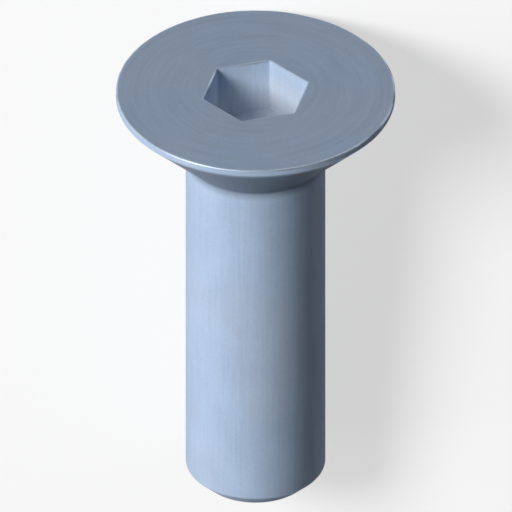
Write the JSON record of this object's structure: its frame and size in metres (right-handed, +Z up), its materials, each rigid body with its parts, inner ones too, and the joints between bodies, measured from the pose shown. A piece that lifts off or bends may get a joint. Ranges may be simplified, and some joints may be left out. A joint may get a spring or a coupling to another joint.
{
  "type": "countersunk screw",
  "caption": "Metric countersunk machine screw with a flat head, a hexagon socket and a plain shank with a chamfered tip, lying on its side.",
  "frame": {"origin": "on the surface that the screw lies on, under the middle of its bounding box", "axes": "+X level along the screw from its tip to its head, +Z up off the surface; the screw's own axis is in the XZ plane and leans 8.93 degrees down to the tip"},
  "size_m": [0.021, 0.012, 0.0119],
  "materials": {
    "zinc_plated_steel": "satin zinc plate with a clear blue passivation"
  },
  "bodies": {
    "root": {"countersunk_screw": "zinc_plated_steel"}
  },
  "joints": []
}
